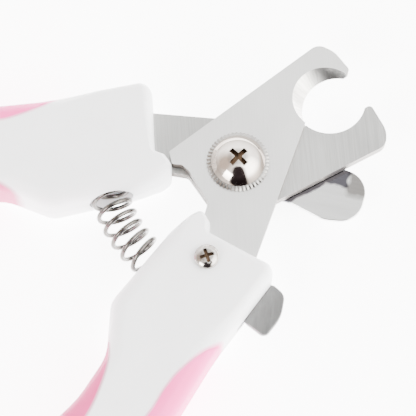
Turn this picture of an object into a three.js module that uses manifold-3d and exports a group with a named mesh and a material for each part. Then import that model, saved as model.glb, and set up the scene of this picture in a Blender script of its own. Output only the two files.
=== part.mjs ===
import * as THREE from "three";
import * as BufferGeometryUtils from "three/addons/utils/BufferGeometryUtils.js";
import Module from "manifold-3d";

const wasm = await Module();
wasm.setup();

// Lengths in millimetres. The blade pivot is the axis x = 0, y = 0. +X runs from the pivot to
// the jaws and +Z towards the front blade. The two blades slide on each other at z = 0.
// The model is drawn open, and then moved so that it stands on z = 0.
const bladeThickness = 2.4;
const bladeSlack = 0.1;
const fit = 0.3;
const bond = 0.05;

const handleHalf = 7.5;
const handleEdge = 4.2;
const tangPinRadius = 1.5;

const pivotRadius = 3;
const domeRadius = 5.8;
const domeHeight = 2.7;
const toothRingRadius = 6.85;
const toothCount = 48;

const guardThickness = 1;
const guardTop = -2.9;
const guardParked = THREE.MathUtils.degToRad(-46.6);

const lockHub = new THREE.Vector2(-18.06, -15.84);
const leverTop = -0.4;
const leverBottom = -1.9;
const leverTravel = THREE.MathUtils.degToRad(52);

const springArc = 28.3;
const springRadius = 3.85;
const springWire = 0.5;
const springTurns = 8.5;
const springEnd = THREE.MathUtils.degToRad(23.6);
const pocketRadius = 4.8;
const pocketEnd = THREE.MathUtils.degToRad(25.7);

// Outlines are lists of corners [x, y, corner radius].
const handleCorners = [
  [-12.65, -5.75, 1.5], [-16.5, -5.3, 8], [-21.5, -6.1, 12], [-39.6, -12.3, 5],
  [-46.3, -21.6, 10], [-56, -26.1, 20], [-75, -30.2, 60], [-98, -34.2, 80],
  [-123.6, -40.2, 8.2], [-119, -57.2, 8.2], [-97, -53.6, 80], [-70, -49.6, 60],
  [-48, -43.6, 60], [-27.3, -33.3, 40], [-17.3, -29.6, 30], [-6, -25.3, 2.8],
  [-8.9, -20.4, 3], [-14.3, -10.9, 1], [-12.85, -9, 1.2],
];
const bladeCorners = [
  [-11.2, 10.05, 0.5], [-12.2, 7.3, 0.5], [-10.5, 6, 0.8],
  [-9.95, 4, 2], [-10.15, -4, 1.5], [-12.6, -6.25, 1], [-15.2, -8.4, 2],
  [-22, -15.9, 4], [-43.4, -24.6, 2], [-41.6, -32.2, 2], [-24, -26.6, 6],
  [-9.6, -20.9, 3], [17.2, -0.2, 0.5],
];
// The two jaws are ground a little differently: the height of the back's end and of the hook's
// tip, and the circle that its cutting edge follows.
const frontJaw = { back: 13.9, tip: 4.7, x: 25.4, y: -1.4, radius: 8.05 };
const rearJaw = { back: 13.2, tip: 3.5, x: 25.4, y: -2.45, radius: 8.05 };
const bevelTop = { x: 24.2, y: 2.2, radius: 7.3 };
const outerGripEdge = [
  [-22, -34.5], [-25.2, -32.9], [-28, -32.5], [-31.1, -32.5], [-35.2, -32.9], [-39.1, -34.1],
  [-45.8, -37.2], [-60, -41.6], [-80, -45.2], [-100, -48.4], [-119, -51.6], [-131, -53.6],
];
const innerGripEdge = [
  [-42.4, -13], [-43.8, -18], [-45.3, -21.4], [-47, -23.7], [-50.4, -26.9], [-55.9, -30.7],
  [-66, -34.6], [-80, -37.8], [-100, -41.7], [-119, -45.6], [-131, -48],
];

// Points of an outline with its corners rounded.
function rounded(corners, stepDegrees = 7.5) {
  const points = [];
  corners.forEach(([x, y, radius], i) => {
    const corner = new THREE.Vector2(x, y);
    const before = new THREE.Vector2(...corners.at(i - 1)).sub(corner).normalize();
    const after = new THREE.Vector2(...corners[(i + 1) % corners.length]).sub(corner).normalize();
    const half = Math.acos(before.dot(after)) / 2;
    const middle = before.clone().add(after).normalize();
    const centre = corner.clone().addScaledVector(middle, radius / Math.sin(half));
    const sweep = Math.PI - 2 * half;
    const steps = Math.max(1, Math.ceil(sweep / THREE.MathUtils.degToRad(stepDegrees)));
    const turn = Math.sign(after.cross(before));
    const from = centre.clone().negate().add(corner).addScaledVector(before, radius / Math.tan(half));
    for (let k = 0; k <= steps; k += 1) {
      const angle = from.angle() + turn * sweep * k / steps;
      points.push(new THREE.Vector2(centre.x + radius * Math.cos(angle), centre.y + radius * Math.sin(angle)));
    }
  });
  return points;
}

// Moves an outline inwards. The outline runs anticlockwise.
function inset(points, amount) {
  return points.map((point, i) => {
    const before = points.at(i - 1);
    const after = points[(i + 1) % points.length];
    const along = after.clone().sub(before).normalize();
    const move = typeof amount === "function" ? amount(point) : amount;
    return new THREE.Vector2(point.x - along.y * move, point.y + along.x * move);
  });
}

function anticlockwise(points) {
  return THREE.ShapeUtils.isClockWise(points) ? points.slice().reverse() : points;
}

function plate(points, bottom, top, bevel = 0, holes = []) {
  const shape = new THREE.Shape(points);
  for (const [x, y, radius] of holes) {
    shape.holes.push(new THREE.Path().absarc(x, y, radius, 0, 2 * Math.PI));
  }
  const geometry = new THREE.ExtrudeGeometry(shape, {
    depth: top - bottom - 2 * bevel, curveSegments: 12, bevelEnabled: bevel > 0,
    bevelSize: bevel, bevelOffset: -bevel, bevelThickness: bevel, bevelSegments: 1,
  });
  return geometry.translate(0, 0, bottom + bevel);
}

// A slab whose edges are rounded, less so on the lip next to the blades.
function softSlab(points, half, edge, levels = 4) {
  const rings = [];
  const soften = (point) => THREE.MathUtils.clamp(
    Math.max((-13 - point.x) / 9, Math.min((-14 - point.y) / 12, 0.55)), 0.25, 1);
  for (const side of [-1, 1]) {
    for (let k = 0; k <= levels; k += 1) {
      const angle = (side < 0 ? levels - k : k) / levels * Math.PI / 2;
      const shrink = edge * (1 - Math.cos(angle));
      const ring = inset(points, (point) => shrink * soften(point));
      const z = side * (half - edge + edge * Math.sin(angle));
      rings.push(ring.map((point) => new THREE.Vector3(point.x, point.y, z)));
    }
  }
  const count = points.length;
  const vertices = rings.flat();
  const faces = [];
  for (let level = 0; level + 1 < rings.length; level += 1) {
    for (let i = 0; i < count; i += 1) {
      const a = level * count + i;
      const b = level * count + (i + 1) % count;
      faces.push(a, b, b + count, a, b + count, a + count);
    }
  }
  const last = (rings.length - 1) * count;
  const flat = (ring) => ring.map((point) => new THREE.Vector2(point.x, point.y));
  for (const [a, b, c] of THREE.ShapeUtils.triangulateShape(flat(rings[0]), [])) {
    faces.push(c, b, a);
  }
  for (const [a, b, c] of THREE.ShapeUtils.triangulateShape(flat(rings.at(-1)), [])) {
    faces.push(last + a, last + b, last + c);
  }
  const geometry = new THREE.BufferGeometry().setFromPoints(vertices);
  geometry.setIndex(faces);
  return geometry;
}

function solid(geometry) {
  const bare = geometry.clone();
  bare.deleteAttribute("normal");
  bare.deleteAttribute("uv");
  const merged = BufferGeometryUtils.mergeVertices(bare, 1e-4);
  return new wasm.Manifold(new wasm.Mesh({
    numProp: 3,
    vertProperties: Float32Array.from(merged.attributes.position.array),
    triVerts: Uint32Array.from(merged.index.array),
  }));
}

function surface(body) {
  const mesh = body.getMesh();
  const geometry = new THREE.BufferGeometry();
  geometry.setAttribute("position", new THREE.BufferAttribute(mesh.vertProperties, 3));
  geometry.setIndex(new THREE.BufferAttribute(mesh.triVerts, 1));
  geometry.computeVertexNormals();
  return geometry;
}

function rod(x, y, bottom, top, radius, segments = 24) {
  const geometry = new THREE.CylinderGeometry(radius, radius, top - bottom, segments);
  return geometry.rotateX(Math.PI / 2).translate(x, y, (top + bottom) / 2);
}

function turned(profile, segments = 32) {
  const points = profile.map(([radius, height]) => new THREE.Vector2(radius, height));
  return new THREE.LatheGeometry(points, segments).rotateX(Math.PI / 2);
}

// The cross recess of a screw, cut down from the height given.
function crossRecess(span, width, height, depth, angle) {
  const arm = new THREE.BoxGeometry(span, width, 2 * depth);
  const cross = solid(arm).add(solid(arm.clone().rotateZ(Math.PI / 2)));
  return solid(surface(cross).rotateZ(angle).translate(0, 0, height));
}

function sector(centre, radius, from, to) {
  const points = [centre.clone()];
  const steps = Math.ceil((to - from) / THREE.MathUtils.degToRad(8));
  for (let k = 0; k <= steps; k += 1) {
    const angle = from + (to - from) * k / steps;
    points.push(new THREE.Vector2(radius * Math.cos(angle), radius * Math.sin(angle)).add(centre));
  }
  return points;
}

function material(color, roughness, metalness) {
  return () => new THREE.MeshStandardMaterial({ color, roughness, metalness });
}

const whitePlastic = material(0xf2efef, 0.45, 0);
const pinkRubber = material(0xf3c3dc, 0.6, 0);
const satinSteel = material(0xd2d2cf, 0.35, 1);
const brushedSteel = material(0xc2c2c0, 0.4, 1);
const polishedSteel = material(0xd8d4cf, 0.15, 1);
const stampedSteel = material(0xa5a5a2, 0.4, 1);

const model = new THREE.Group();
model.name = "pet_nail_trimmer";

function place(name, geometry, makeMaterial) {
  const mesh = new THREE.Mesh(geometry, makeMaterial());
  mesh.name = name;
  model.add(mesh);
  return mesh;
}

// Half a turn about X changes a lower piece into its upper twin.
function flipped(geometry) {
  return geometry.clone().rotateX(Math.PI);
}

// ---- blades ----

function bladeOutline(jaw) {
  const hook = [[24, jaw.tip, 0.5], [32.4, jaw.tip, 0.9], [31.9, 10.4, 5.5]];
  return anticlockwise(rounded([[29.9, jaw.back, 2.8], ...bladeCorners, ...hook], 5));
}

// The mouth's edge is one circle at the sliding face, and another, nearer the jaw's back, at
// the outer face. The cutter runs on past both faces.
function mouthCutter(jaw) {
  const past = 0.25;
  const at = (share) => ({
    x: THREE.MathUtils.lerp(jaw.x, bevelTop.x, share),
    y: THREE.MathUtils.lerp(jaw.y, bevelTop.y, share),
    z: bladeSlack + bladeThickness * share,
    radius: THREE.MathUtils.lerp(jaw.radius, bevelTop.radius, share),
  });
  const bottom = at(-past);
  const top = at(1 + past);
  const height = top.z - bottom.z;
  const geometry = new THREE.CylinderGeometry(top.radius, bottom.radius, height, 64, 2);
  geometry.rotateX(Math.PI / 2);
  const lean = new THREE.Matrix4().set(
    1, 0, (top.x - bottom.x) / height, (top.x + bottom.x) / 2,
    0, 1, (top.y - bottom.y) / height, (top.y + bottom.y) / 2,
    0, 0, 1, (top.z + bottom.z) / 2,
    0, 0, 0, 1,
  );
  return geometry.applyMatrix4(lean);
}

const bladeHoles = [[0, 0, pivotRadius + fit], [lockHub.x, lockHub.y, tangPinRadius + fit]];
const tangPinSpots = [[-28.5, -22.4], [-37.5, -27]];
for (const [x, y] of tangPinSpots) {
  bladeHoles.push([x, y, tangPinRadius + fit]);
}
function blade(jaw) {
  const blank = plate(bladeOutline(jaw), bladeSlack, bladeSlack + bladeThickness, 0, bladeHoles);
  return surface(solid(blank).subtract(solid(mouthCutter(jaw))));
}

place("front_blade", blade(frontJaw), satinSteel);
place("rear_blade", flipped(blade(rearJaw)), brushedSteel);

// ---- pieces of one handle ----

const handleOutline = anticlockwise(rounded(handleCorners));
const handleBody = solid(softSlab(handleOutline, handleHalf, handleEdge));

function gripRegion(edge, far, shift) {
  const curve = new THREE.SplineCurve(edge.map(([x, y]) => new THREE.Vector2(x, y)));
  const points = curve.getPoints(30);
  for (const [x, y] of far) {
    points.push(new THREE.Vector2(x, y));
  }
  return solid(plate(anticlockwise(points), -10, 10).translate(shift[0], shift[1], 0));
}

const outerFar = [[-131, -75], [-22, -60]];
const innerFar = [[-131, 0], [-42.4, 0]];
const outerGrip = handleBody.intersect(gripRegion(outerGripEdge, outerFar, [0, -bond]));
const innerGrip = handleBody.intersect(gripRegion(innerGripEdge, innerFar, [-0.7 * bond, 0.8 * bond]));
const core = handleBody
  .subtract(gripRegion(outerGripEdge, outerFar, [0, 0]))
  .subtract(gripRegion(innerGripEdge, innerFar, [0, 0]));

function halfSpace(side) {
  const block = new THREE.BoxGeometry(200, 200, 20).translate(-60, -30, side * (10 + bond));
  return solid(block);
}

const slotOutline = inset(bladeOutline(frontJaw), -fit);
const tangSlot = solid(plate(slotOutline, -1, bladeSlack + bladeThickness + fit));

function springPocket() {
  const into = new THREE.Vector3(Math.sin(pocketEnd - 0.08), -Math.cos(pocketEnd - 0.08), 0);
  const floor = new THREE.Vector3(-Math.cos(pocketEnd), -Math.sin(pocketEnd), 0).multiplyScalar(springArc);
  const middle = floor.clone().addScaledVector(into, -6);
  const geometry = new THREE.CylinderGeometry(pocketRadius, pocketRadius, 12, 32);
  const aim = new THREE.Quaternion().setFromUnitVectors(new THREE.Vector3(0, 1, 0), into);
  return solid(geometry.applyQuaternion(aim).translate(middle.x, middle.y, middle.z));
}

const pinLength = 5;
const tangPinHoles = tangPinSpots.map(([x, y]) => (
  solid(rod(x, y, -pinLength - fit, pinLength + fit, tangPinRadius + fit))
));
let shellStock = core.subtract(springPocket());
for (const hole of tangPinHoles) {
  shellStock = shellStock.subtract(hole);
}

// Screws that hold each handle's two shells together, put in from the rear.
const shellScrewSpots = [[-57, -35.4], [-95, -43.9]];
const screwHeadRadius = 2.3;
const screwHeadHeight = 1.5;
const screwRadius = 1.4;
const screwHeadFace = -handleHalf + 0.4;

function shellScrew() {
  const body = turned([
    [0, screwHeadFace], [screwHeadRadius - 0.3, screwHeadFace], [screwHeadRadius, screwHeadFace + 0.4],
    [screwHeadRadius, screwHeadFace + screwHeadHeight], [screwRadius, screwHeadFace + screwHeadHeight],
    [screwRadius, 4], [0, 4.6],
  ], 20);
  return surface(solid(body).subtract(crossRecess(2.8, 0.7, screwHeadFace, 0.9, 0.4)));
}

function screwHole(x, y) {
  const shaft = solid(rod(x, y, -handleHalf - 1, 5, screwRadius + fit));
  const bore = rod(x, y, -handleHalf - 1, screwHeadFace + screwHeadHeight + fit, screwHeadRadius + fit);
  return shaft.add(solid(bore));
}

// ---- lower handle ----

// Room for the lock lever: its hub, its tab's sweep and its nose's sweep.
const degrees = THREE.MathUtils.degToRad;
const leverRoom = [
  rod(lockHub.x, lockHub.y, leverBottom - fit, 0, 5.2),
  plate(sector(lockHub, 20, degrees(-97), degrees(-44) + leverTravel), leverBottom - fit, 0),
  plate(sector(lockHub, 11.7, 0, degrees(-27) + leverTravel), leverBottom - fit, 0),
];
const lockScrewHole = solid(rod(lockHub.x, lockHub.y, -5.5, 8, tangPinRadius + fit));

let lowerFront = shellStock.intersect(halfSpace(1)).subtract(tangSlot).subtract(lockScrewHole);
let lowerRear = shellStock.intersect(halfSpace(-1)).subtract(lockScrewHole);
for (const room of leverRoom) {
  lowerRear = lowerRear.subtract(solid(room));
}
for (const [x, y] of shellScrewSpots) {
  lowerFront = lowerFront.subtract(screwHole(x, y));
  lowerRear = lowerRear.subtract(screwHole(x, y));
}
place("lower_front_shell", surface(lowerFront), whitePlastic);
place("lower_rear_shell", surface(lowerRear), whitePlastic);
place("lower_outer_grip", surface(outerGrip), pinkRubber);
place("lower_inner_grip", surface(innerGrip), pinkRubber);

// ---- upper handle ----

const mirrored = ([x, y]) => [x, -y];
let upperRear = solid(flipped(surface(shellStock.intersect(halfSpace(1)).subtract(tangSlot))));
let upperFront = solid(flipped(surface(shellStock.intersect(halfSpace(-1)))));
for (const [x, y] of shellScrewSpots.map(mirrored)) {
  upperRear = upperRear.subtract(screwHole(x, y));
  upperFront = upperFront.subtract(screwHole(x, y));
}
place("upper_front_shell", surface(upperFront), whitePlastic);
place("upper_rear_shell", surface(upperRear), whitePlastic);
place("upper_outer_grip", flipped(surface(outerGrip)), pinkRubber);
place("upper_inner_grip", flipped(surface(innerGrip)), pinkRubber);

// ---- pins and shell screws ----

["front", "back"].forEach((where, i) => {
  const [pinX, pinY] = tangPinSpots[i];
  place(`lower_tang_pin_${where}`, rod(pinX, pinY, -pinLength, pinLength, tangPinRadius), stampedSteel);
  place(`upper_tang_pin_${where}`, rod(pinX, -pinY, -pinLength, pinLength, tangPinRadius), stampedSteel);
  const [screwX, screwY] = shellScrewSpots[i];
  place(`lower_shell_screw_${where}`, shellScrew().translate(screwX, screwY, 0), stampedSteel);
  place(`upper_shell_screw_${where}`, shellScrew().translate(screwX, -screwY, 0), stampedSteel);
});

// ---- pivot ----

const bladeFace = bladeSlack + bladeThickness;
const ringTop = bladeFace + 0.85;
const domeSeat = ringTop + 0.05;
const nutTop = guardTop - guardThickness - 1.1;
const nutBottom = nutTop - 2;

function domeScrew() {
  const profile = [[0, nutBottom + 0.2], [pivotRadius, nutBottom + 0.2], [pivotRadius, domeSeat]];
  profile.push([domeRadius - 0.1, domeSeat]);
  const ball = (domeRadius ** 2 + domeHeight ** 2) / (2 * domeHeight);
  const rim = Math.asin(domeRadius / ball);
  for (let k = 0; k <= 8; k += 1) {
    const angle = rim * (1 - k / 8);
    profile.push([ball * Math.sin(angle), domeSeat + 0.1 + domeHeight - ball * (1 - Math.cos(angle))]);
  }
  const recess = crossRecess(4.5, 1.05, domeSeat + domeHeight + 0.1, 1.9, degrees(12.5));
  return surface(solid(turned(profile, 48)).subtract(recess));
}

// A cone with radial teeth, which stands on the blade and comes up to the screw's head.
function toothRing() {
  const bottom = bladeFace + 0.08;
  const hole = pivotRadius + fit;
  const profile = [[hole, bottom], [toothRingRadius, bottom], [toothRingRadius, bottom + 0.2]];
  profile.push([domeRadius - 0.2, ringTop]);
  profile.push([hole, ringTop]);
  profile.push([hole, bottom]);
  const geometry = turned(profile, 2 * toothCount);
  const places = geometry.attributes.position;
  for (let i = 0; i < places.count; i += 1) {
    const point = new THREE.Vector3().fromBufferAttribute(places, i);
    const reach = Math.hypot(point.x, point.y);
    const tooth = Math.round(Math.atan2(point.y, point.x) / Math.PI * toothCount);
    if (tooth % 2 && reach > domeRadius) {
      places.setXY(i, point.x * 0.96, point.y * 0.96);
    }
    if (tooth % 2 && point.z > bottom + 0.5 && reach > domeRadius - 0.5) {
      places.setZ(i, point.z - 0.18);
    }
  }
  return geometry;
}

function hexagon(radius) {
  return [0, 1, 2, 3, 4, 5].map((k) => (
    new THREE.Vector2(radius * Math.cos(k * Math.PI / 3), radius * Math.sin(k * Math.PI / 3))
  ));
}

place("pivot_screw", domeScrew(), polishedSteel);
place("tooth_washer", toothRing(), polishedSteel);
const pivotHole = [[0, 0, pivotRadius + fit]];
const washerRim = sector(new THREE.Vector2(0, 0), 6, 0, 2 * Math.PI).slice(1, -1);
place("rear_washer", plate(washerRim, nutTop + 0.15, guardTop - guardThickness - 0.15, 0, pivotHole), stampedSteel);
place("pivot_nut", plate(hexagon(5.6), nutBottom, nutTop, 0, pivotHole), stampedSteel);

// ---- nail guard, parked beside the jaws ----

const guardCorners = [
  [-7.2, -5.6, 5], [4, -7.4, 5], [10, -3.6, 8], [20.5, -6.4, 6], [28.2, -5.2, 5.1],
  [28.2, 5.2, 5.1], [20.5, 6.4, 6], [10, 3.6, 8], [4, 7.4, 5], [-7.2, 5.6, 5],
];
const guardOutline = anticlockwise(rounded(guardCorners, 10));
const guardPlate = plate(guardOutline, guardTop - guardThickness, guardTop, 0.15, pivotHole);
place("nail_guard", guardPlate.rotateZ(guardParked), polishedSteel);

// ---- lock lever and its screw ----

// The lever turns anticlockwise to lock, and its nose then stands behind the rear blade's wing.

const leverTab = rounded([
  [-15.5, -17, 0.5], [-13.6, -21.8, 4], [-8, -26.6, 1], [-7.2, -29.6, 2.4], [-10.5, -33.2, 8],
  [-15.9, -35.1, 1.5], [-17.5, -30.4, 1], [-17.6, -22, 3], [-19.2, -17.5, 0.5],
]);
const nose = [[3.9, -65, 0.5], [11.4, -45, 0.5], [11.4, -34, 0.3], [8.6, -33, 1], [3.9, -28, 0.5]];
const leverNose = rounded(nose.map(([radius, angle, corner]) => [
  lockHub.x + radius * Math.cos(degrees(angle)), lockHub.y + radius * Math.sin(degrees(angle)), corner,
]));
const lever = solid(plate(anticlockwise(leverTab), leverBottom, leverTop, 0.2))
  .add(solid(plate(anticlockwise(leverNose), leverBottom, leverTop)))
  .add(solid(rod(lockHub.x, lockHub.y, leverBottom, leverTop, 4.4, 32)))
  .subtract(solid(rod(lockHub.x, lockHub.y, -5, 5, tangPinRadius + fit)));
place("lock_lever", surface(lever), stampedSteel);

const lockHeadRadius = 2.62;
const lockHead = turned([
  [0, -5.2], [tangPinRadius, -5.2], [tangPinRadius, handleHalf + 0.05],
  [lockHeadRadius - 0.1, handleHalf + 0.05], [lockHeadRadius, handleHalf + 0.35],
  [lockHeadRadius, handleHalf + 0.85], [lockHeadRadius - 0.45, handleHalf + 1.35],
  [lockHeadRadius - 1.3, handleHalf + 1.65], [0, handleHalf + 1.75],
]);
const lockRecess = crossRecess(3, 0.75, handleHalf + 1.75, 1.2, degrees(18 - 32.5));
const lockScrew = surface(solid(lockHead).subtract(lockRecess));
place("lock_screw", lockScrew.translate(lockHub.x, lockHub.y, 0), polishedSteel);

// ---- return spring, bent along an arc about the pivot ----

class SpringPath extends THREE.Curve {
  getPoint(t, target = new THREE.Vector3()) {
    const closed = 0.08;
    const middle = THREE.MathUtils.clamp((t - closed) / (1 - 2 * closed), 0, 1);
    const ends = (Math.min(t, closed) + Math.max(t - 1 + closed, 0)) / (2 * closed);
    const run = 0.9 * middle + 0.1 * ends;
    const arc = springEnd * (2 * run - 1);
    const turn = 2 * Math.PI * springTurns * t;
    const reach = springArc - springRadius * Math.cos(turn);
    return target.set(-reach * Math.cos(arc), -reach * Math.sin(arc), springRadius * Math.sin(turn));
  }
}

const wireShape = new THREE.Shape(sector(new THREE.Vector2(0, 0), springWire, 0, 2 * Math.PI)
  .slice(1, -1).filter((point, i) => i % 6 === 0));
const springGeometry = new THREE.ExtrudeGeometry(wireShape, {
  steps: Math.round(springTurns * 14), extrudePath: new SpringPath(), bevelEnabled: false,
});
place("return_spring", springGeometry, polishedSteel);

// Stand the model on z = 0, with its box centred on the Z axis.
const box = new THREE.Box3().setFromObject(model);
const centre = box.getCenter(new THREE.Vector3());
model.position.set(-centre.x, -centre.y, -box.min.z);

export default model;
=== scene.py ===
import math

import bmesh
import bpy
from mathutils import Matrix, Vector


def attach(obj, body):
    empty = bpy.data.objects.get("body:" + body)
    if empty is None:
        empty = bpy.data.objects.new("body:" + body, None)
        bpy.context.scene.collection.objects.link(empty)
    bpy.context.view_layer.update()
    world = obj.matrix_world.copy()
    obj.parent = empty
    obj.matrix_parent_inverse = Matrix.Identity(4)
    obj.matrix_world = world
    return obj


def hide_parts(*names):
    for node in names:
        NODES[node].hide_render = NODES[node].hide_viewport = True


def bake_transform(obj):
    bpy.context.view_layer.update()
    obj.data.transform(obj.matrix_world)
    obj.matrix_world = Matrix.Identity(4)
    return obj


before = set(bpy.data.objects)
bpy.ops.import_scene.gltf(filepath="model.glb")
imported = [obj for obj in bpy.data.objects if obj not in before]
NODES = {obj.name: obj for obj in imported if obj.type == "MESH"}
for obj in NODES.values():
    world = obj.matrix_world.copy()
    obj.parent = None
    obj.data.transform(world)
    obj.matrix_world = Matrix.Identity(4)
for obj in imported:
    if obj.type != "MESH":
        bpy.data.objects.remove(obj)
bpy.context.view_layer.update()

# Lengths are in metres, and MM turns millimetres into metres. Where a comment says "from the
# pivot", they are millimetres from the point where the blades' pivot crosses PIVOT's height.
MM = 0.001
PIVOT = Vector((44.6676, 0, 7.5)) * MM
LOCK_HUB = Vector((-18.06, -15.84, 0))  # from the pivot
MOUTH = Vector((24.2, 0.6, 0))  # from the pivot: the front mouth's centre, mirrored for the rear
MOUTH_REACH = 8.3
DOME_RADIUS = 5.8
GUARD_PARKED = math.radians(-46.6)


# ---- node helpers ----


class Nodes:
    """Short names for making a tree's nodes."""

    def __init__(self, tree):
        self.tree = tree

    def add(self, kind, **settings):
        node = self.tree.nodes.new(kind)
        for name, value in settings.items():
            setattr(node, name, value)
        return node

    def link(self, source, target):
        self.tree.links.new(source, target)

    def feed(self, socket, value):
        """Gives a socket a number, or links another node's output to it."""
        if isinstance(value, (int, float)):
            socket.default_value = value
        else:
            self.link(value, socket)

    def math(self, operation, a, b=0):
        node = self.add("ShaderNodeMath", operation=operation)
        self.feed(node.inputs[0], a)
        self.feed(node.inputs[1], b)
        return node.outputs[0]

    def ramp(self, source, *stops):
        """A colour ramp, whose stops are pairs of a place and a colour or a grey."""
        ramp = self.add("ShaderNodeValToRGB")
        elements = ramp.color_ramp.elements
        for place, _ in stops[2:]:
            elements.new(place)
        for element, (place, colour) in zip(elements, sorted(stops)):
            element.position = place
            element.color = (*colour, 1) if isinstance(colour, tuple) else (colour,) * 3 + (1,)
        self.link(source, ramp.inputs["Fac"])
        return ramp.outputs["Color"]

    def mix(self, share, a, b, kind="MIX"):
        node = self.add("ShaderNodeMix", data_type="RGBA", blend_type=kind)
        self.feed(node.inputs["Factor"], share)
        self.link(a, node.inputs["A"])
        self.link(b, node.inputs["B"])
        return node.outputs["Result"]

    def product(self, first, *others):
        for other in others:
            first = self.mix(1.0, first, other, "MULTIPLY")
        return first


class Surface(Nodes):
    """A new material and its nodes."""

    def __init__(self, name, **values):
        self.material = bpy.data.materials.new(name)
        self.material.use_nodes = True
        super().__init__(self.material.node_tree)
        self.inputs = self.tree.nodes["Principled BSDF"].inputs
        self.coordinate = self.add("ShaderNodeTexCoord").outputs["Object"]
        self.set(**values)

    def set(self, **values):
        for name, value in values.items():
            self.inputs[name.replace("_", " ")].default_value = value

    def place(self):
        """X and Y from the pivot and Z above the table, in millimetres."""
        split = self.add("ShaderNodeSeparateXYZ")
        self.link(self.coordinate, split.inputs[0])
        x = self.math("SUBTRACT", split.outputs["X"], PIVOT.x)
        return [self.math("DIVIDE", value, MM) for value in (
            x, split.outputs["Y"], split.outputs["Z"])]

    def stretched(self, scale, turn):
        """Coordinates turned about Z, and then stretched."""
        turned = self.add("ShaderNodeMapping")
        turned.inputs["Rotation"].default_value = (0, 0, -turn)
        self.link(self.coordinate, turned.inputs["Vector"])
        scaled = self.add("ShaderNodeMapping")
        scaled.inputs["Scale"].default_value = scale
        self.link(turned.outputs["Vector"], scaled.inputs["Vector"])
        return scaled.outputs["Vector"]

    def noise(self, scale, detail=3.0, roughness=0.5, vector=None):
        noise = self.add("ShaderNodeTexNoise")
        noise.inputs["Scale"].default_value = scale
        noise.inputs["Detail"].default_value = detail
        noise.inputs["Roughness"].default_value = roughness
        self.link(vector if vector is not None else self.coordinate, noise.inputs["Vector"])
        return noise.outputs["Fac"]

    def bump(self, height, distance, strength=1.0, under=None):
        bump = self.add("ShaderNodeBump")
        bump.inputs["Strength"].default_value = strength
        bump.inputs["Distance"].default_value = distance
        self.link(height, bump.inputs["Height"])
        if under is not None:
            self.link(under, bump.inputs["Normal"])
        return bump.outputs["Normal"]

    def past(self, distance, soft):
        """0 before a line and 1 past it, blended over a soft width at each side of it."""
        share = self.math("DIVIDE", distance, 2 * soft)
        return self.ramp(self.math("ADD", share, 0.5), (0.0, 0.0), (1.0, 1.0))

    def tint(self, tone):
        """Multiplies the base colour that the material has so far."""
        base = self.inputs["Base Color"]
        self.link(self.product(base.links[0].from_socket, tone), base)


def show(name, data):
    """A new object in the scene."""
    thing = bpy.data.objects.new(name, data)
    bpy.context.scene.collection.objects.link(thing)
    return thing


# ---- camera and light ----

VIEW_TILT = math.radians(19)
VIEW_ROLL = math.radians(32.5)
VIEW_WIDTH = 89.3 * MM
LENS = 150
SENSOR = 36

right = Vector((math.cos(VIEW_ROLL), -math.sin(VIEW_ROLL), 0))
toward = Vector((
    -math.sin(VIEW_ROLL) * math.sin(VIEW_TILT),
    -math.cos(VIEW_ROLL) * math.sin(VIEW_TILT),
    math.cos(VIEW_TILT),
))
up = toward.cross(right)
level_up = Vector((up.x, up.y, 0)).normalized()
look_at = PIVOT + Vector((-10.6, -4.6, 0)) * MM

camera = show("camera", bpy.data.cameras.new("camera"))
camera.data.lens = LENS
camera.data.sensor_width = SENSOR
camera.data.clip_start = 0.01
distance = VIEW_WIDTH * LENS / SENSOR
axes = Matrix((right, up, toward)).transposed().to_4x4()
camera.matrix_world = Matrix.Translation(look_at + toward * distance) @ axes
bpy.context.scene.camera = camera


def from_view(across, along, height):
    """A direction or place given in the picture's directions."""
    return right * across + level_up * along + Vector((0, 0, height))


BOX_SIDE = 0.34
BOX_WATTS = 7.0

light = bpy.data.lights.new("left_box", "AREA")
light.shape = "SQUARE"
light.size = BOX_SIDE
light.energy = BOX_WATTS
lamp = show("left_box", light)
lamp.location = PIVOT + from_view(-0.42, -0.46, 0.42)
lamp.rotation_mode = "QUATERNION"
lamp.rotation_quaternion = (lamp.location - PIVOT).to_track_quat("Z", "Y")

SKY_STRENGTH = 5.6
WHITE, BLACK = (1, 1, 1), (0, 0, 0)

world = bpy.data.worlds.new("studio")
bpy.context.scene.world = world
world.use_nodes = True
world.node_tree.nodes.clear()
studio = Nodes(world.node_tree)
sky = studio.add("ShaderNodeTexCoord")


def facing(direction):
    """How nearly the sky's direction is the one given, from 0 to 1."""
    dot = studio.add("ShaderNodeVectorMath", operation="DOT_PRODUCT")
    studio.link(sky.outputs["Generated"], dot.inputs[0])
    dot.inputs[1].default_value = direction
    return studio.math("ADD", studio.math("MULTIPLY", dot.outputs["Value"], 0.5), 0.5)


height_colour = studio.ramp(
    facing((0, 0, 1)), (0.5, (0.45, 0.43, 0.41)), (0.62, (0.75, 0.74, 0.73)), (0.8, WHITE))
# A dark figure stands behind the camera, a brown wall is at the left, and the flat blades
# mirror a grey card overhead. A large soft box is at the right.
beside = studio.ramp(
    facing(right), (0.16, BLACK), (0.46, WHITE), (0.56, WHITE), (0.88, BLACK))
below = studio.ramp(
    facing(from_view(0, -1, 0)), (0.53, BLACK), (0.66, (0.6, 0.6, 0.6)),
    (0.92, WHITE), (1.0, (0.5, 0.5, 0.5)))
figure = studio.ramp(
    studio.product(beside, below), (0.30, WHITE), (0.50, (0.010, 0.007, 0.008)))
wall = studio.ramp(
    facing(from_view(-0.70, 0.02, 0.70)), (0.84, WHITE), (0.975, (0.26, 0.215, 0.185)))
card = studio.ramp(
    facing(from_view(0, math.sin(VIEW_TILT), math.cos(VIEW_TILT))),
    (0.90, WHITE), (0.96, (0.42, 0.42, 0.415)))
soft_box = studio.ramp(
    facing(from_view(0.66, -0.22, 0.60)), (0.86, WHITE), (0.97, (2.6, 2.6, 2.5)))
background = studio.add("ShaderNodeBackground")
background.inputs["Strength"].default_value = SKY_STRENGTH
studio.link(
    studio.product(height_colour, figure, wall, card, soft_box), background.inputs["Color"])
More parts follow.
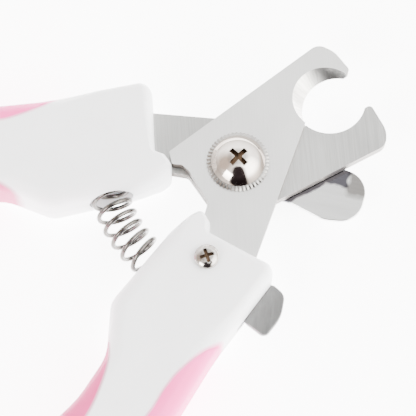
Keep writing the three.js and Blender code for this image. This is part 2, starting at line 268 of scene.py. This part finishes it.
studio.link(
    background.outputs["Background"], studio.add("ShaderNodeOutputWorld").inputs["Surface"])


# ---- materials ----

# Where the pink rubber meets the white plastic: points of each edge from the pivot, and the
# direction in degrees along which its offset is given. The upper handle mirrors the lower one.
OUTER_EDGE = ([
    (-20.5, -34.1), (-24, -32.5), (-27.2, -32.1), (-31.1, -32.2), (-35.2, -32.9), (-39.1, -34.1),
    (-45.8, -37.2), (-60, -41.6), (-80, -45.2), (-100, -48.4), (-119, -51.6), (-131, -53.6),
], 188)
INNER_EDGE = ([
    (-42.4, -13), (-43.8, -18), (-45.3, -21.4), (-47, -23.7), (-50.4, -26.9), (-55.9, -30.7),
    (-66, -34.6), (-80, -37.8), (-100, -41.7), (-119, -45.6), (-131, -48),
], 212)
EDGE_BLEND = 0.45
OUTER_PINK = (0.96, 0.07, 0.35), (0.98, 0.085, 0.38)
INNER_PINK = (0.62, 0.05, 0.21), (0.66, 0.06, 0.23)
PLAIN_WHITE = (0.86, 0.86, 0.875), (0.90, 0.90, 0.915)


def past_edge(m, x, y, edge, side):
    """0 on the white side of a grip's edge and 1 on its pink side."""
    points, heading = edge
    along = Vector((math.cos(math.radians(heading)), math.sin(math.radians(heading))))
    across = Vector((-along.y, along.x))
    runs = [Vector(point).dot(along) for point in points]
    offsets = [Vector(point).dot(across) for point in points]
    length = runs[-1] - runs[0]
    low = min(offsets)
    span = max(offsets) - low
    run = m.math("ADD", m.math("MULTIPLY", x, along.x), m.math("MULTIPLY", y, along.y))
    offset = m.math("ADD", m.math("MULTIPLY", x, across.x), m.math("MULTIPLY", y, across.y))
    curve = m.add("ShaderNodeFloatCurve")
    line = curve.mapping.curves[0]
    for run_at, offset_at in zip(runs[1:-1], offsets[1:-1]):
        line.points.new((run_at - runs[0]) / length, (offset_at - low) / span)
    line.points[0].location = (0, (offsets[0] - low) / span)
    line.points[len(points) - 1].location = (1, (offsets[-1] - low) / span)
    curve.mapping.update()
    m.link(m.math("DIVIDE", m.math("SUBTRACT", run, runs[0]), length), curve.inputs["Value"])
    edge_offset = m.math("ADD", m.math("MULTIPLY", curve.outputs["Value"], span), low)
    return m.past(m.math("MULTIPLY", m.math("SUBTRACT", offset, edge_offset), side), EDGE_BLEND)


def moulded(name, rough, grain):
    """Moulded plastic or rubber, whose colour runs from white to pink at the grips' edges."""
    m = Surface(name, Subsurface_Weight=0.15, Subsurface_Scale=0.002,
                Subsurface_Radius=(1.0, 0.85, 0.85))
    x, y, _ = m.place()
    y = m.math("MULTIPLY", m.math("ABSOLUTE", y), -1)
    mottle = m.noise(120, 4, 0.6)
    plain, outer_pink, inner_pink = (
        m.ramp(mottle, (0.3, dark), (0.7, light))
        for dark, light in (PLAIN_WHITE, OUTER_PINK, INNER_PINK))
    colour = m.mix(past_edge(m, x, y, OUTER_EDGE, 1), plain, outer_pink)
    colour = m.mix(past_edge(m, x, y, INNER_EDGE, -1), colour, inner_pink)
    m.link(colour, m.inputs["Base Color"])
    m.link(m.ramp(m.noise(900, 3), (0.3, rough[0]), (0.7, rough[1])), m.inputs["Roughness"])
    waves = m.bump(m.noise(60, 1), 0.1 * MM)
    m.link(m.bump(m.noise(5200, 2), grain, 0.6, waves), m.inputs["Normal"])
    return m


def metal(name, dark, light, rough, turn, stretch, scratch):
    """Ground or brushed steel: long fine lines that vary its colour, gloss and surface."""
    m = Surface(name, Metallic=1.0)
    lines = m.noise(1.0, 4, 0.65, m.stretched(stretch, turn))
    cloud = m.noise(55, 3)
    shade = m.math("ADD", m.math("MULTIPLY", lines, 0.6), m.math("MULTIPLY", cloud, 0.4))
    m.link(m.ramp(shade, (0.35, dark), (0.65, light)), m.inputs["Base Color"])
    m.link(m.ramp(shade, (0.3, rough[0]), (0.7, rough[1])), m.inputs["Roughness"])
    m.link(m.bump(lines, scratch, 0.7), m.inputs["Normal"])
    return m


def ground_steel(name):
    """The mouth's ground face: streaks across the edge, and a painted reflection in its colour,
    bright at the root and dark at the tip.
    """
    m = Surface(name, Metallic=1.0)
    x, y, z = m.place()
    from_centre = m.math("SUBTRACT", m.math("ABSOLUTE", y), MOUTH.y)
    angle = m.math("ARCTAN2", from_centre, m.math("SUBTRACT", x, MOUTH.x))
    turn = m.math("DIVIDE", angle, math.pi)
    streak_place = m.add("ShaderNodeCombineXYZ")
    m.link(m.math("MULTIPLY", turn, 42), streak_place.inputs["X"])
    m.link(m.math("MULTIPLY", z, 0.3), streak_place.inputs["Y"])
    streaks = m.noise(1.0, 4, 0.6, streak_place.outputs[0])
    # Painted reflection: the base colour runs with the angle round the mouth, dark at the tip
    # and warm white at the root.
    base = m.ramp(
        turn, (0.02, (0.06, 0.059, 0.058)), (0.26, (0.08, 0.079, 0.077)),
        (0.34, (0.16, 0.158, 0.155)), (0.46, (0.34, 0.335, 0.325)), (0.58, (0.95, 0.92, 0.87)),
        (0.74, (1.0, 0.97, 0.92)), (1.0, (0.85, 0.83, 0.80)))
    streaked = m.product(base, m.ramp(streaks, (0.38, 0.7), (0.58, 1.0)))
    m.link(m.mix(0.8, base, streaked), m.inputs["Base Color"])
    m.link(m.ramp(streaks, (0.3, 0.42), (0.7, 0.3)), m.inputs["Roughness"])
    m.link(m.bump(streaks, 0.004 * MM, 0.7), m.inputs["Normal"])
    return m


def sheared_steel(name):
    """The blades' cut sides, with a painted dark reflection that makes them browner and darker
    towards the tangs.
    """
    m = metal(name, (0.16, 0.145, 0.135), (0.34, 0.315, 0.30), (0.35, 0.5),
              0.0, (500, 500, 1500), 0.006 * MM)
    tang_end, jaw_end = -15, 15
    x, _, _ = m.place()
    share = m.math("DIVIDE", m.math("SUBTRACT", x, tang_end), jaw_end - tang_end)
    # Painted dark reflection: the cut sides turn browner and darker towards the tangs.
    m.tint(m.ramp(share, (0.2, (0.22, 0.19, 0.165)), (0.75, WHITE)))
    return m


def paddle_steel(name):
    """The guard's polished sheet: bright, with painted reflections in its colour: the dark blade
    along its upper side and a grey patch at its far end.
    """
    m = metal(name, (0.62, 0.62, 0.61), (0.76, 0.76, 0.75), (0.10, 0.18),
              GUARD_PARKED, (60, 900, 300), 0.001 * MM)
    x, y, _ = m.place()
    along = m.math("ADD", m.math("MULTIPLY", x, math.cos(GUARD_PARKED)),
                   m.math("MULTIPLY", y, math.sin(GUARD_PARKED)))
    across = m.math("SUBTRACT", m.math("MULTIPLY", y, math.cos(GUARD_PARKED)),
                    m.math("MULTIPLY", x, math.sin(GUARD_PARKED)))
    wander = m.math("MULTIPLY", m.math("SUBTRACT", m.noise(260, 2), 0.5), 3)

    def beyond(value, line, soft):
        """Past a line that wanders, in millimetres along or across the guard."""
        return m.past(m.math("ADD", m.math("SUBTRACT", value, line), wander), soft)

    # Painted reflection of the dark blade, past a wandering line along the guard's upper side.
    blade_line = m.math("MINIMUM", m.math("SUBTRACT", along, 17.3), 1.9)
    mirrored = m.math(
        "MULTIPLY", beyond(across, blade_line, 0.35), beyond(24.2, along, 0.35))
    # Painted grey reflection at the guard's far end.
    far_grey_reflection = m.math("MULTIPLY", beyond(along, 23.8, 0.5), beyond(across, 0.3, 0.8))
    m.tint(m.ramp(far_grey_reflection, (0.0, 1.0), (1.0, (0.36, 0.345, 0.335))))
    m.tint(m.ramp(mirrored, (0.0, 1.0), (1.0, (0.13, 0.125, 0.145))))
    return m


def dome_nickel(name):
    """The pivot screw's polished dome, with painted shade darkening it where its rim turns down.
    """
    m = metal(name, (0.58, 0.525, 0.475), (0.66, 0.605, 0.555), (0.06, 0.10),
              0.3, (300, 900, 900), 0.0004 * MM)
    x, y, _ = m.place()
    square = m.math("ADD", m.math("MULTIPLY", x, x), m.math("MULTIPLY", y, y))
    radius = m.math("DIVIDE", m.math("SQRT", square), DOME_RADIUS)
    # Painted shade: the dome darkens where its rim turns down.
    m.tint(m.ramp(radius, (0.73, 1.0), (0.86, (0.50, 0.47, 0.45))))
    return m


white_plastic = moulded("handle_white", (0.36, 0.46), 0.005 * MM)
pink_rubber = moulded("grip_pink", (0.42, 0.54), 0.008 * MM)
front_steel = metal("blade_satin", (0.70, 0.70, 0.69), (0.78, 0.78, 0.77), (0.34, 0.44),
                    math.radians(60), (70, 3600, 400), 0.0015 * MM)
rear_steel = metal("blade_brushed", (0.38, 0.38, 0.37), (0.56, 0.56, 0.55), (0.30, 0.42),
                   math.radians(62), (60, 3000, 400), 0.005 * MM)
edge_steel = sheared_steel("sheared_edge")
mouth_steel = ground_steel("ground_mouth")
guard_steel = paddle_steel("guard_polish")
screw_steel = metal("screw_nickel", (0.30, 0.275, 0.25), (0.52, 0.485, 0.45), (0.10, 0.18),
                    0.3, (300, 1800, 900), 0.0008 * MM)
dome_steel = dome_nickel("dome_nickel")
ring_steel = metal("ring_nickel", (0.20, 0.19, 0.18), (0.34, 0.33, 0.315), (0.18, 0.3),
                   0.3, (600, 1800, 900), 0.002 * MM)
# Painted shade: the cross recesses get a near-black brown where shade falls in them.
recess_painted_shade = metal("recess", (0.025, 0.016, 0.010), (0.15, 0.10, 0.065), (0.22, 0.36),
                     0.3, (900, 1800, 900), 0.004 * MM)
spring_steel = metal("spring_wire", (0.075, 0.068, 0.062), (0.15, 0.138, 0.128), (0.16, 0.26),
                     0.3, (1800, 300, 900), 0.0015 * MM)
stamped_steel = metal("stamped_steel", (0.145, 0.145, 0.144), (0.195, 0.195, 0.193),
                      (0.36, 0.48), 0.9, (300, 2400, 900), 0.004 * MM)


# ---- pieces ----

SAME_POINT = 0.002 * MM
FLAT_ANGLE = math.radians(0.6)
SHARP_ANGLE = math.radians(32)


def wear(obj, surface):
    obj.data.materials.clear()
    obj.data.materials.append(surface.material)


def refined(node, body, surface, bevel=0.0):
    """A piece with a CAD node's shape, smooth over its facets, with its hard edges eased."""
    source = NODES[node]
    mesh = source.data.copy()
    mesh.transform(source.matrix_world)
    piece = show(node + "_fine", mesh)
    work = bmesh.new()
    work.from_mesh(mesh)
    bmesh.ops.remove_doubles(work, verts=work.verts, dist=SAME_POINT)
    bmesh.ops.dissolve_limit(work, angle_limit=FLAT_ANGLE, verts=work.verts, edges=work.edges)
    work.to_mesh(mesh)
    work.free()
    for name in ("custom_normal", "sharp_face", "sharp_edge"):
        if name in mesh.attributes:
            mesh.attributes.remove(mesh.attributes[name])
    for polygon in mesh.polygons:
        polygon.use_smooth = True
    mesh.set_sharp_from_angle(angle=SHARP_ANGLE)
    if bevel:
        eased = piece.modifiers.new("eased", "BEVEL")
        eased.width = bevel
        eased.segments = 2
        eased.limit_method = "ANGLE"
        eased.angle_limit = SHARP_ANGLE
        eased.harden_normals = False
    even = piece.modifiers.new("even", "WEIGHTED_NORMAL")
    even.keep_sharp = not bevel
    even.weight = 80
    wear(piece, surface)
    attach(piece, body)
    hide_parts(node)
    return piece


def dress(piece, surface, chosen):
    """Gives another material to the faces that the test picks, by centre from the pivot and
    by normal."""
    piece.data.materials.append(surface.material)
    index = len(piece.data.materials) - 1
    for polygon in piece.data.polygons:
        if chosen((polygon.center - PIVOT) / MM, polygon.normal):
            polygon.material_index = index


def is_side(at, normal):
    return abs(normal.z) < 0.5


def is_mouth(at, normal):
    near = math.hypot(at.x - MOUTH.x, abs(at.y) - MOUTH.y) < MOUTH_REACH
    return near and abs(normal.z) < 0.95


def cross_recess(middle, reach, lowest, floor):
    """A test for the walls and floor of a screw's cross recess."""
    def chosen(at, normal):
        near = math.hypot(at.x - middle.x, at.y - middle.y) < reach
        return near and at.z > lowest and (is_side(at, normal) or at.z < floor)
    return chosen


for side, body in (("lower", "lower_handle"), ("upper", "upper_handle")):
    for shell in ("front_shell", "rear_shell"):
        refined(f"{side}_{shell}", body, white_plastic)
    for grip in ("outer_grip", "inner_grip"):
        refined(f"{side}_{grip}", body, pink_rubber)
    for where in ("front", "back"):
        wear(NODES[f"{side}_tang_pin_{where}"], stamped_steel)
        refined(f"{side}_shell_screw_{where}", body, stamped_steel, 0.06 * MM)

for node, body, slot, steel in (
    ("front_blade", "lower_handle", "blade_satin", front_steel),
    ("rear_blade", "upper_handle", "blade_brushed", rear_steel),
):
    blade = refined(node, body, steel, 0.05 * MM)
    dress(blade, edge_steel, is_side)
    dress(blade, mouth_steel, is_mouth)
refined("nail_guard", "guard", guard_steel, 0.08 * MM)
refined("lock_lever", "lock", stamped_steel, 0.12 * MM)

dome = refined("pivot_screw", "lower_handle", dome_steel, 0.06 * MM)
dress(dome, recess_painted_shade, cross_recess(Vector((0, 0, 0)), reach=2.4, lowest=3.5, floor=5))
refined("tooth_washer", "lower_handle", ring_steel)
lock_screw = refined("lock_screw", "lower_handle", screw_steel, 0.05 * MM)
dress(lock_screw, recess_painted_shade, cross_recess(LOCK_HUB, reach=1.6, lowest=7, floor=8.3))
refined("rear_washer", "lower_handle", stamped_steel, 0.08 * MM)
refined("pivot_nut", "lower_handle", stamped_steel, 0.1 * MM)


# ---- return spring ----

# The coil's axis is an arc about the pivot. All lengths are in millimetres.
AXIS_RADIUS = 28.3
AXIS_END = math.radians(23.6)
COIL_RADIUS = 3.85
COIL_TURNS = 8.5
WIRE_RADIUS = 0.5
CLOSED_SHARE = 0.08  # of the wire, at each end, where the turns lie close together
CLOSED_ARC = 0.1  # of the axis, for both ends together
RINGS_PER_TURN = 28
WIRE_SIDES = 12


def spring_point(share):
    """A point of the wire's centre line and of the coil's own axis, from the pivot."""
    middle = min(max((share - CLOSED_SHARE) / (1 - 2 * CLOSED_SHARE), 0), 1)
    ends = (min(share, CLOSED_SHARE) + max(share - 1 + CLOSED_SHARE, 0)) / (2 * CLOSED_SHARE)
    arc = AXIS_END * (2 * ((1 - CLOSED_ARC) * middle + CLOSED_ARC * ends) - 1)
    turn = 2 * math.pi * COIL_TURNS * share
    inward = Vector((-math.cos(arc), -math.sin(arc), 0))
    rise = Vector((0, 0, COIL_RADIUS * math.sin(turn)))
    return inward * (AXIS_RADIUS - COIL_RADIUS * math.cos(turn)) + rise, inward * AXIS_RADIUS


def wire_ring(share):
    """The points round the wire at a share of its length."""
    step = 0.001
    centre, axis_point = spring_point(share)
    ahead, _ = spring_point(min(share + step, 1))
    behind, _ = spring_point(max(share - step, 0))
    tangent = (ahead - behind).normalized()
    outward = (centre - axis_point).normalized()
    outward = (outward - tangent * outward.dot(tangent)).normalized()
    sideways = tangent.cross(outward)
    for i in range(WIRE_SIDES):
        angle = 2 * math.pi * i / WIRE_SIDES
        offset = outward * math.cos(angle) + sideways * math.sin(angle)
        yield PIVOT + (centre + offset * WIRE_RADIUS) * MM


last_ring = round(COIL_TURNS * RINGS_PER_TURN)
spring_points = [point for k in range(last_ring + 1) for point in wire_ring(k / last_ring)]
spring_faces = [tuple(reversed(range(WIRE_SIDES)))]
for k in range(last_ring):
    for i in range(WIRE_SIDES):
        a, b = k * WIRE_SIDES + i, k * WIRE_SIDES + (i + 1) % WIRE_SIDES
        spring_faces.append((a, b, b + WIRE_SIDES, a + WIRE_SIDES))
spring_faces.append(tuple(range(last_ring * WIRE_SIDES, (last_ring + 1) * WIRE_SIDES)))
spring_mesh = bpy.data.meshes.new("return_spring_fine")
spring_mesh.from_pydata(spring_points, [], spring_faces)
for polygon in spring_mesh.polygons:
    polygon.use_smooth = len(polygon.vertices) == 4
spring = show("return_spring_fine", spring_mesh)
wear(spring, spring_steel)
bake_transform(spring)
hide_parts("return_spring")


# ---- floor ----

FLOOR_REACH = 3
FLOOR_HEIGHT = -0.4 * MM

floor_mesh = bpy.data.meshes.new("floor")
corners = [
    (x * FLOOR_REACH, y * FLOOR_REACH, FLOOR_HEIGHT)
    for x, y in ((-1, -1), (1, -1), (1, 1), (-1, 1))
]
floor_mesh.from_pydata(corners, [], [(0, 1, 2, 3)])
floor = show("floor", floor_mesh)
paper = Surface(
    "floor_white", Roughness=0.9, Emission_Color=(1, 1, 1, 1), Emission_Strength=7.0)
paper.link(paper.ramp(paper.noise(8, 2), (0.3, 0.93), (0.7, 0.96)), paper.inputs["Base Color"])
wear(floor, paper)

bpy.context.view_layer.update()
